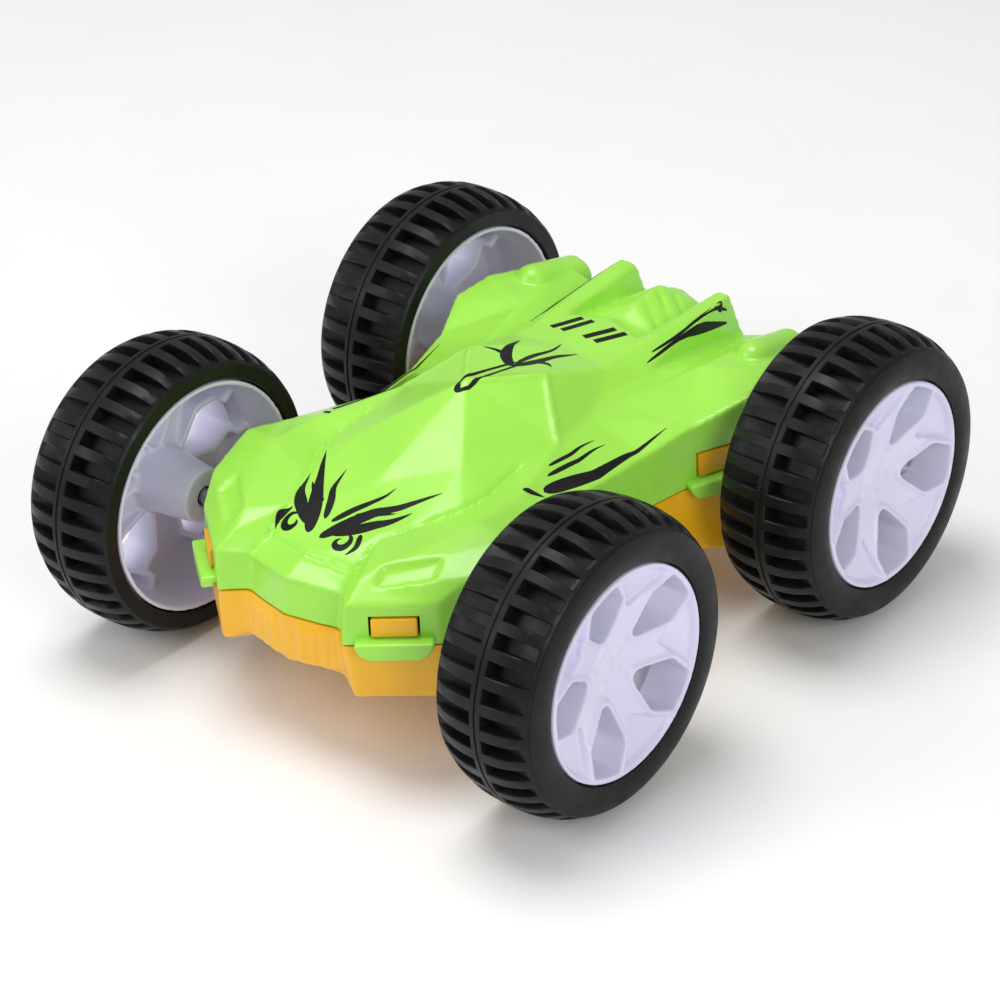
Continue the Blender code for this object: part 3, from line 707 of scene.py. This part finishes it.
combined(upper_shell, removed, "DIFFERENCE")
soften(upper_shell, voxel=0.42, passes=4, share=0.4)
hollow(upper_shell, AXLE_Z + SEAM_GAP, 1)

# Each bar hangs in front of the lower shell, and is cut clear of it.
BAR_CLEARANCE = [(-3, -3), (-3, 0.3), (0.45, 0.3), (0.45, -3)]
WINDOW_SILL, WINDOW_TOP = 1.7, 5.4
bars, windows = [], []
for k, (start, end, middle, width, lift) in enumerate(latch_walls()):
    bar = latch_bar(start, end, middle, width, f"bar_{k}")
    clear = prism_along(start, end, middle, width + 9, BAR_CLEARANCE, f"clear_{k}")
    combined(bar, [clear], "DIFFERENCE")
    bars.append(bar)
    top = WINDOW_TOP + lift
    opening = [(-3, WINDOW_SILL), (3, WINDOW_SILL), (3, top), (-3, top)]
    windows.append(prism_along(start, end, middle, width, opening, f"window_{k}"))
combined(upper_shell, bars, "UNION")
combined(upper_shell, windows + [axle_notch("front"), axle_notch("rear")], "DIFFERENCE")
shade(upper_shell)
paint(upper_shell, green_plastic)
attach(upper_shell, "body")
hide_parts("upper_shell")

# ------------------------------------------------------------------ Printed graphics
# Black ink printed on the green shell: licks on the hood and the fins, a branching mark on the roof,
# slanted bars on the deck and speed stripes along the sides. The film follows the shell's surface.

skin = BVHTree.FromObject(upper_shell, bpy.context.evaluated_depsgraph_get())
INK_DEPTH = 0.5
INK_PROUD = 0.05


def smooth_line(points, steps=9):
    """A curve through the points."""
    knots = [Vector(point) for point in points[:1] + points + points[-1:]]
    line = []
    for a, b, c, d in zip(knots, knots[1:], knots[2:], knots[3:]):
        for step in range(steps):
            t = step / steps
            bend = (2 * a - 5 * b + 4 * c - d) * t ** 2
            twist = (3 * b - a - 3 * c + d) * t ** 3
            line.append(0.5 * (2 * b + (c - a) * t + bend + twist))
    return line + [knots[-1]]


def shell_top(spot):
    """The height of the shell's surface at a spot seen from above."""
    return skin.ray_cast(Vector((spot.x, spot.y, 90)) * MM, Vector((0, 0, -1)))[0].z / MM


def stroke(points, width, blunt=0.04, belly=0.6):
    """One stroke through (x, y) points. It swells early, and tapers at both ends unless it is blunt."""
    line = smooth_line(points)
    last = len(line) - 1
    corners = []
    for k, spot in enumerate(line):
        ahead = (line[min(k + 1, last)] - line[max(k - 1, 0)]).normalized()
        aside = Vector((ahead.y, -ahead.x)) * width / 2 * max(blunt, sin(pi * (k / last) ** belly))
        edges = [spot - aside, spot + aside]
        corners += [(edge.x, edge.y, shell_top(edge) - INK_DEPTH) for edge in edges]
        corners += [(edge.x, edge.y, shell_top(edge) + 1) for edge in edges[::-1]]
    return new_piece("stroke", solid_mesh("stroke", corners, tube_faces(len(line), 4)))


def on_side(points, side, middle=0):
    """Points mirrored to one side of the car, at their distance from that middle."""
    return [(middle + side * x, y) for x, y in points]


def curl(x, y, radius, turn, way, width, squeeze=1):
    """A stroke that winds inwards. It is squeezed across the car where the shell is steep."""
    points = []
    for k in range(9):
        angle = turn + way * 0.72 * k
        size = radius * (1 - 0.085 * k)
        points.append((x + squeeze * size * cos(angle), y + size * sin(angle)))
    return stroke(points, width, belly=0.8)


def printed(name, strokes):
    """Joins the strokes, and keeps only a thin film of them at the shell's surface."""
    film = strokes[0]
    combined(film, strokes[1:], "UNION")
    cover = new_piece("cover", upper_shell.data.copy())
    proud = cover.modifiers.new("proud", "DISPLACE")
    proud.strength = INK_PROUD * MM
    proud.mid_level = 0
    settle(cover)
    combined(film, [cover], "INTERSECT")
    film.name = name
    paint(film, ink)
    shade(film)
    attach(film, "body")


ink = moulded_plastic(
    "black_ink", (0.005, 0.005, 0.0055), (0.009, 0.009, 0.009), roughness=0.45, peel=0.05, scuffs=0.04
)
ink.node_tree.nodes["Principled BSDF"].inputs["Specular IOR Level"].default_value = 0.2

# The points of each stroke on the right half of the hood, and its width.
HOOD_LICKS = [
    ([(1.2, -46.6), (4.2, -41.6), (8.0, -36.4), (13.0, -29.2)], 2.5),
    ([(2.6, -45.2), (6.8, -42.2), (9.6, -39.2), (11.4, -35.0)], 2.2),
    ([(0.7, -43.0), (2.4, -39.6), (4.6, -36.2), (5.6, -32.2)], 1.3),
    ([(3.6, -40.2), (7.0, -38.6), (9.4, -36.6)], 1.0),
    ([(7.6, -43.4), (8.6, -45.6), (7.8, -47.6)], 1.0),
]
HOOD_MIDDLE = -1.4
hood_marks = []
for side in (-1, 1):
    hood_marks += [stroke(on_side(points, side, HOOD_MIDDLE), width) for points, width in HOOD_LICKS]
    hood_marks.append(curl(HOOD_MIDDLE + side * 5.4, -45.9, 1.9, pi / 2, -side, 1.2))
printed("hood_graphic", hood_marks)

roof_marks = [
    stroke([(-0.9, -10.2), (-0.6, -4), (0.1, 3.5)], 0.8, blunt=0.8),
    stroke([(1.3, -10.2), (1.3, -4), (1.6, 3.0)], 0.8, blunt=0.8),
    stroke([(-0.9, -10.1), (0.2, -11.6), (1.3, -10.1)], 1.1, blunt=0.7),
    stroke([(0.9, 1.5), (-2.4, 4.0), (-4.6, 7.6), (-6.4, 12.4)], 2.1),
    stroke([(0.9, 1.5), (2.6, 5.2), (3.4, 9.6), (4.2, 15.2)], 2.1),
    stroke([(0.6, 3.0), (0.2, 8.0), (0.6, 12.6), (-0.4, 16.4)], 1.2),
    stroke([(-2.2, 4.4), (-4.8, 4.4), (-7.0, 3.4)], 1.0),
    stroke([(2.4, 5.4), (4.8, 6.0), (6.8, 5.2)], 1.0),
]
printed("roof_graphic", roof_marks)

DECK_BARS = (-5.4, -3.0, 2.0, 4.4)
deck_marks = [stroke([(x - 1.1, 21.0), (x + 1.1, 27.0)], 1.3, blunt=1) for x in DECK_BARS]
printed("deck_graphic", deck_marks)

# The licks on a fin's outer face look narrow from above, because it is steep.
FIN_LICKS = [
    ([(12.3, 25.5), (12.6, 32), (12.5, 39), (12.75, 46.5)], 0.45),
    ([(13.2, 23.0), (13.1, 31), (13.15, 38), (13.1, 46.0)], 0.5),
    ([(12.6, 33), (12.35, 38), (12.25, 42.5)], 0.25),
]
# The points of each stripe, its width, and how late it swells.
SIDE_STRIPES = [
    ([(23.6, -17.5), (23.8, -10), (24.4, -1), (25.6, 12.5)], 2.2, 0.5),
    ([(21.6, -20.6), (24.6, -18.6)], 1.2, 0.7),
    ([(21.4, -14.0), (21.0, -6), (21.2, 1.5)], 0.7, 0.6),
    ([(20.0, -12.0), (19.6, -5), (19.6, 0.5)], 0.55, 0.6),
]
for side, word in ((1, "left"), (-1, "right")):
    fin_marks = [stroke(on_side(points, side), width) for points, width in FIN_LICKS]
    fin_marks.append(curl(side * 12.4, 44.6, 1.3, -pi / 2, side, 0.26, squeeze=0.25))
    printed(f"fin_graphic_{word}", fin_marks)
    side_marks = [stroke(on_side(points, side), width, belly=belly) for points, width, belly in SIDE_STRIPES]
    printed(f"side_graphic_{word}", side_marks)

# ------------------------------------------------------------------ Rims
# White moulded rims with five forked spokes, deep walls round their windows, and a long hub that
# grips the axle. The four come from one mould.

WHEEL_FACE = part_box("tyre_front_left")[1].x / MM
RIM_EDGE = 18.5
BARREL = 20.9
SPOKES = 5
DISC_EDGE = 17.95
dish = [(0, 4.6), (3.8, 4.5), (8, 3.3), (12.5, 2.0), (17.3, 0.95), (17.9, 0.7)]


def dish_depth(radius):
    """How far the spokes lie behind the wheel's outer face."""
    for (r0, d0), (r1, d1) in zip(dish, dish[1:]):
        if radius <= r1:
            return d0 + (d1 - d0) * (radius - r0) / (r1 - r0)
    return dish[-1][1]


def turned(name, profile, steps):
    """Turns a closed profile of (depth, radius) points round the axle's line."""
    points, rings = [], []
    for depth, radius in profile:
        size = 1 if radius == 0 else steps
        start = len(points)
        rings.append([start + k % size for k in range(steps)])
        points += [
            (depth, radius * cos(2 * pi * k / steps), radius * sin(2 * pi * k / steps)) for k in range(size)
        ]
    faces = []
    for a, b in zip(rings, rings[1:] + rings[:1]):
        for k in range(steps):
            corners = list(dict.fromkeys([a[k], a[(k + 1) % steps], b[(k + 1) % steps], b[k]]))
            if len(corners) > 2:
                faces.append(corners)
    return solid_mesh(name, points, faces)


def window_outline(grow):
    """A window seen along the axle, as (out, across) points: round at the hub and widest near the edge."""
    half = [(5.0 - 1.7 * grow, 0), (12.5, 4.6 + grow), (17.2 + 0.5 * grow, 3.3 + grow), (17.5 + grow, 0)]
    corners = half + [(u, -w) for u, w in half[2:0:-1]]
    # How much of each corner is rounded, from the hub end round.
    rounds = [0.75, 0.34, 0.3, 0.45, 0.3, 0.34]
    points = []
    for k, corner in enumerate(corners):
        corner = Vector(corner)
        before, after = Vector(corners[k - 1]), Vector(corners[(k + 1) % len(corners)])
        reach = 0.5 * rounds[k] * min((before - corner).length, (after - corner).length)
        start = corner + (before - corner).normalized() * reach
        end = corner + (after - corner).normalized() * reach
        for step in range(6):
            t = step / 5
            points.append((1 - t) ** 2 * start + 2 * t * (1 - t) * corner + t * t * end)
    return [tuple(point * min(1, DISC_EDGE / point.length)) for point in points]


def spun(depth, u, w, turn):
    """A point at that depth, with (out, across) turned about the axle."""
    return (depth, u * cos(turn) - w * sin(turn), u * sin(turn) + w * cos(turn))


def around(outline, turn, near, far, name):
    """A prism with that outline. Near and far give its depth at each radius."""
    points = [spun(depth(hypot(u, w)), u, w, turn) for depth in (near, far) for u, w in outline]
    return new_piece(name, solid_mesh(name, points, tube_faces(2, len(outline))))


WALL_DEPTH = 8.2
# No lip comes nearer to the wheel's outer face than this.
FRONTMOST = 0.15


def window_wall(turn, name):
    """The wall round one window. Its front edge is a low round lip above the spokes."""
    # How far each edge lies outside the window, and behind the spokes, or None for the wall's far edge.
    profile = ((-0.35, 0.1), (0.15, -0.75), (0.6, -0.75), (1.1, 0.2), (1.1, None), (-0.35, None))
    points = []
    for grow, lift in profile:
        for u, w in window_outline(grow):
            depth = WALL_DEPTH if lift is None else max(FRONTMOST, dish_depth(hypot(u, w)) + lift)
            points.append(spun(depth, u, w, turn))
    steps = len(points) // len(profile)
    return new_piece(name, solid_mesh(name, points, loop_faces(len(profile), steps)))


def web_pocket(turn, name):
    """The sloped triangle sunk between a spoke's two arms, deepest at its apex near the hub."""
    apex, base, half_width = 10.6, 17.7, 6.4
    deep, shallow = 4.4, 1.5
    edge = [(16.3, half_width), (17.3, half_width * 0.5), (17.6, 0)]
    outline = [(apex, 0)] + edge + [(u, -w) for u, w in edge[1::-1]]

    def floor(radius):
        return deep + (shallow - deep) * (radius - apex) / (base - apex)

    return around(outline, turn, lambda radius: -3, floor, name)


def barrel_tab(turn, name):
    """A rounded rib that stiffens the end of a window's wall inside the barrel."""
    near, far, half = 17.0, 20.0, 0.8
    outline = [(near, -half), (far, -half), (far, half), (near, half)]
    return rounded(around(outline, turn, lambda radius: 4.2, lambda radius: 10.6, name), 0.6)


rim_profile = [(depth, radius) for radius, depth in dish]
rim_profile += [
    # lip, and the barrel's outside and inside
    (0.15, 18.05), (0.1, RIM_EDGE), (2.4, RIM_EDGE), (2.9, BARREL), (19.2, BARREL), (19.2, 20.1),
    (8.0, 19.7), (4.6, 18.6),
    # back of the disc, hub and axle hole
    (4.6, 17.0), (5.2, 12.0), (6.4, 8.0), (7.6, 6.2), (19.0, 4.9), (19.0, 1.8), (6.6, 1.8), (6.6, 0),
]
rim_mould = new_piece("rim_mould", turned("rim", rim_profile, 120))
turns = [2 * pi * k / SPOKES for k in range(SPOKES)]
webs = [web_pocket(turn + pi / SPOKES, f"web_{k}") for k, turn in enumerate(turns)]
combined(rim_mould, webs, "DIFFERENCE")

# A boss in the middle, a small dot in front of each window, and a pair of ribs behind each spoke.
DOT_REACH = 3.3
TAB_SPREAD = 0.4
dots = [new_piece("boss", turned("boss", [(5.5, 0), (5.5, 1.3), (4.35, 1.2), (4.2, 0.9), (4.2, 0)], 20))]
for k, turn in enumerate(turns):
    dot = turned("dot", [(5.5, 0), (5.5, 0.8), (4.3, 0.75), (4.05, 0.4), (4.0, 0)], 14)
    dot.transform(Matrix.Translation(Vector((0, DOT_REACH * cos(turn), DOT_REACH * sin(turn))) * MM))
    dots.append(new_piece(f"dot_{k}", dot))
barrel_tabs = [
    barrel_tab(turn + pi / SPOKES + shift, f"barrel_tab_{turn}_{shift}")
    for turn in turns for shift in (-TAB_SPREAD, TAB_SPREAD)
]
walls = [window_wall(turn, f"wall_{k}") for k, turn in enumerate(turns)]
combined(rim_mould, walls + dots + barrel_tabs, "UNION")
openings = [
    around(window_outline(0), turn, lambda radius: -3, lambda radius: 15, f"opening_{k}")
    for k, turn in enumerate(turns)
]
combined(rim_mould, openings, "DIFFERENCE")
soften(rim_mould, voxel=0.32, passes=2, share=0.26)
shade(rim_mould, 60)

white_plastic = moulded_plastic(
    "white_plastic", (0.73, 0.715, 0.88), (0.68, 0.66, 0.84), roughness=0.33, peel=0.05, scuffs=0.05
)

wheel_bodies = {"front": "front_wheels", "rear": "rear_wheels"}
# How far each wheel has rolled, in degrees. Side 1 is the left.
RIM_TURN = {("front", 1): -37, ("rear", 1): -12, ("front", -1): 20, ("rear", -1): 50}


def fit_wheel_part(name, mould, finish, end, side, node):
    """A copy of a wheel part, turned to face its own side of the car and moved to its axle."""
    y = AXLE_Y if end == "rear" else -AXLE_Y
    turn = radians(RIM_TURN[end, side])
    facing = Matrix.Rotation(pi, 4, "Z") if side > 0 else Matrix.Identity(4)
    # The mould's first window is at +Y, which turning the wheel to face +X sends to -Y.
    spin = Matrix.Rotation(turn if side < 0 else pi - turn, 4, "X")
    mesh = mould.copy()
    mesh.transform(Matrix.Translation(Vector((side * WHEEL_FACE, y, AXLE_Z)) * MM) @ facing @ spin)
    piece = new_piece(name, mesh, finish)
    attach(piece, wheel_bodies[end])
    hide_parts(node)


for end, side in RIM_TURN:
    word = "left" if side > 0 else "right"
    name = f"rim_{end}_{word}"
    fit_wheel_part(name + "_finished", rim_mould.data, white_plastic, end, side, name)
bpy.data.objects.remove(rim_mould)

# ------------------------------------------------------------------ Tyres
# Black moulded tyres pushed over the rims. Two rows of deep pockets between cross bars run round the
# tread, on either side of a middle rib, and the side walls are smooth.

TYRE_RADIUS = (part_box("tyre_front_left")[1].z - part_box("tyre_front_left")[0].z) / 2 / MM
TYRE_WIDTH = (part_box("tyre_front_left")[1].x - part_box("tyre_front_left")[0].x) / MM
POCKETS = 36
OUTER_ROW, INNER_ROW = (0.95, 8.7), (10.6, 18.6)
POCKET_FLOOR = 23.75
FLOOR_RISE = 0.5
LIP = 0.14
TREAD_END = 19.0
# A thin groove runs round the middle rib.
GROOVE_X, GROOVE_HALF, GROOVE_DEPTH = 9.6, 0.2, 0.22


def crown(x):
    """The tread's radius at a distance x from the outer face. It falls away further at that face."""
    middle = TYRE_WIDTH / 2
    drop = 2.5 if x < middle else 1.85
    return TYRE_RADIUS - drop * abs((x - middle) / 9.0) ** 2.6


def pocket(x):
    """How much of a pocket's depth is reached at x, and the radius of the pocket's sloping floor."""
    for (start, end), from_rib in ((OUTER_ROW, OUTER_ROW[1] - x), (INNER_ROW, x - INNER_ROW[0])):
        if start <= x <= end:
            share = 0.0 if from_rib < 0.01 else (0.07 if from_rib < 1.5 * LIP else 1.0)
            return share, POCKET_FLOOR + FLOOR_RISE * from_rib / (end - start)
    return 0.0, TYRE_RADIUS


def tyre_mesh():
    """Rings of points from the bead over the tread and back inside, each dipping into its pockets."""
    cells = (0, 0.04, 0.12, 0.25, 0.4, 0.55, 0.7, 0.85, 1)
    outer, inner = (
        [start + (end - start) * share for share in cells] for start, end in (OUTER_ROW, INNER_ROW)
    )
    tread = outer[:-1] + [OUTER_ROW[1] - 2 * LIP, OUTER_ROW[1] - LIP, OUTER_ROW[1]]
    tread += [GROOVE_X + step for step in (-0.25, -0.15, 0, 0.15, 0.25)]
    tread += [INNER_ROW[0], INNER_ROW[0] + LIP, INNER_ROW[0] + 2 * LIP] + inner[2:] + [TREAD_END]
    outer_wall = [
        (1.6, 18.75), (0.75, 18.75), (0.38, 18.95), (0.12, 19.7), (0.0, 20.8), (0.08, 22.0), (0.3, 23.1),
        (0.55, 23.75), (0.68, 23.7),
    ]
    inner_wall = [
        (TYRE_WIDTH, 23.9), (TYRE_WIDTH, 21.5), (TYRE_WIDTH - 0.3, 21.2), (2.7, 21.2), (2.2, 18.75),
    ]
    # Around one pocket and its bar: the share of the pitch, and the share of the pocket's depth.
    pitch = [(0.0, 0), (0.2, 0), (0.39, 0), (0.42, 0.07), (0.445, 1), (0.70, 1), (0.955, 1), (0.98, 0.07)]
    rows = [(x, r, None) for x, r in outer_wall] + [(x, crown(x), x) for x in tread]
    rows += [(x, r, None) for x, r in inner_wall]
    points = []
    for x, radius, in_tread in rows:
        share_x, floor = pocket(in_tread) if in_tread is not None else (0.0, radius)
        depth = max(0.0, radius - floor)
        grooved = in_tread is not None and abs(in_tread - GROOVE_X) < GROOVE_HALF
        groove = GROOVE_DEPTH if grooved else 0.0
        for k in range(POCKETS):
            for place, share_round in pitch:
                angle = 2 * pi * (k + place) / POCKETS
                r = radius - groove - depth * min(share_x, share_round)
                points.append((x, r * cos(angle), r * sin(angle)))
    return solid_mesh("tyre", points, loop_faces(len(rows), POCKETS * len(pitch)), split=False)


def tyre_black():
    """Low-gloss black plastic with fine dust, unevenly dull."""
    finish, tree, shader = new_finish("tyre_black", 0.42)
    shader.inputs["Specular IOR Level"].default_value = 0.2
    dust = remap(tree, grain(tree, 900, detail=8, roughness=0.75), 0.5, 0.78, 0, 0.35)
    drift = remap(tree, grain(tree, 90), 0.3, 0.7, 0, 1)
    tone = blended(tree, drift, (0.005, 0.005, 0.0055), (0.009, 0.009, 0.0095))
    tree.links.new(blended(tree, dust, tone, (0.035, 0.035, 0.037)), shader.inputs["Base Color"])
    gloss = remap(tree, grain(tree, 260, detail=5), 0.3, 0.72, 0.3, 0.52)
    tree.links.new(gloss, shader.inputs["Roughness"])
    relief(tree, shader, grain(tree, 2600, detail=3), 0.18, 0.04)
    return finish


black = tyre_black()
tyre = tyre_mesh()
tyre.shade_smooth()
tyre.set_sharp_from_angle(angle=radians(32))
for end, side in RIM_TURN:
    word = "left" if side > 0 else "right"
    name = f"tyre_{end}_{word}"
    fit_wheel_part(name + "_finished", tyre, black, end, side, name)

# ------------------------------------------------------------------ Studio
# A pale floor and soft light from above and from both sides.

floor_finish, floor_tree, floor_shader = new_finish("pale_floor", 0.6)
speck = remap(floor_tree, grain(floor_tree, 30, detail=2), 0.3, 0.7, 0, 1)
floor_tone = blended(floor_tree, speck, (0.93, 0.93, 0.93), (0.95, 0.95, 0.95))
floor_tree.links.new(floor_tone, floor_shader.inputs["Base Color"])
REACH = 3000
floor_corners = [(-REACH, -REACH, 0), (REACH, -REACH, 0), (REACH, REACH, 0), (-REACH, REACH, 0)]
floor = new_piece("floor", solid_mesh("floor", floor_corners, [[0, 1, 2, 3]]), floor_finish)

world = bpy.data.worlds.new("studio")
bpy.context.scene.world = world
world.use_nodes = True
world.node_tree.nodes["Background"].inputs["Color"].default_value = (1, 1, 1, 1)
world.node_tree.nodes["Background"].inputs["Strength"].default_value = 0.45


def soft_light(name, place, size, power):
    light = bpy.data.lights.new(name, "AREA")
    light.shape = "DISK"
    light.size = size * MM
    light.energy = power
    lamp = bpy.data.objects.new(name, light)
    bpy.context.scene.collection.objects.link(lamp)
    lamp.location = Vector(place) * MM
    lamp.rotation_euler = (Vector((0, 0, 20 * MM)) - lamp.location).to_track_quat("-Z", "Y").to_euler()


soft_light("top_softbox", (-120, -40, 700), 420, 2.5)
soft_light("front_softbox", (-380, -560, 420), 420, 1.3)
soft_light("side_softbox", (620, -260, 420), 360, 1.8)

AIM = Vector((0.5, -2.6, 22.7))
AZIMUTH, ELEVATION, ROLL, DISTANCE = radians(41.73), radians(30.63), radians(-2.77), 600
back = Vector((sin(AZIMUTH) * cos(ELEVATION), -cos(AZIMUTH) * cos(ELEVATION), sin(ELEVATION)))
level = Vector((cos(AZIMUTH), sin(AZIMUTH), 0))
upright = back.cross(level)
across_view = cos(ROLL) * level + sin(ROLL) * upright
up_view = -sin(ROLL) * level + cos(ROLL) * upright
camera_data = bpy.data.cameras.new("camera")
camera_data.lens = 124.63
camera_data.sensor_width = 36
camera_data.clip_end = 20
camera = bpy.data.objects.new("camera", camera_data)
bpy.context.scene.collection.objects.link(camera)
turn = Matrix((across_view, up_view, back)).transposed().to_4x4()
camera.matrix_world = Matrix.Translation((AIM + back * DISTANCE) * MM) @ turn
bpy.context.scene.camera = camera
bpy.context.scene.view_settings.view_transform = "Standard"
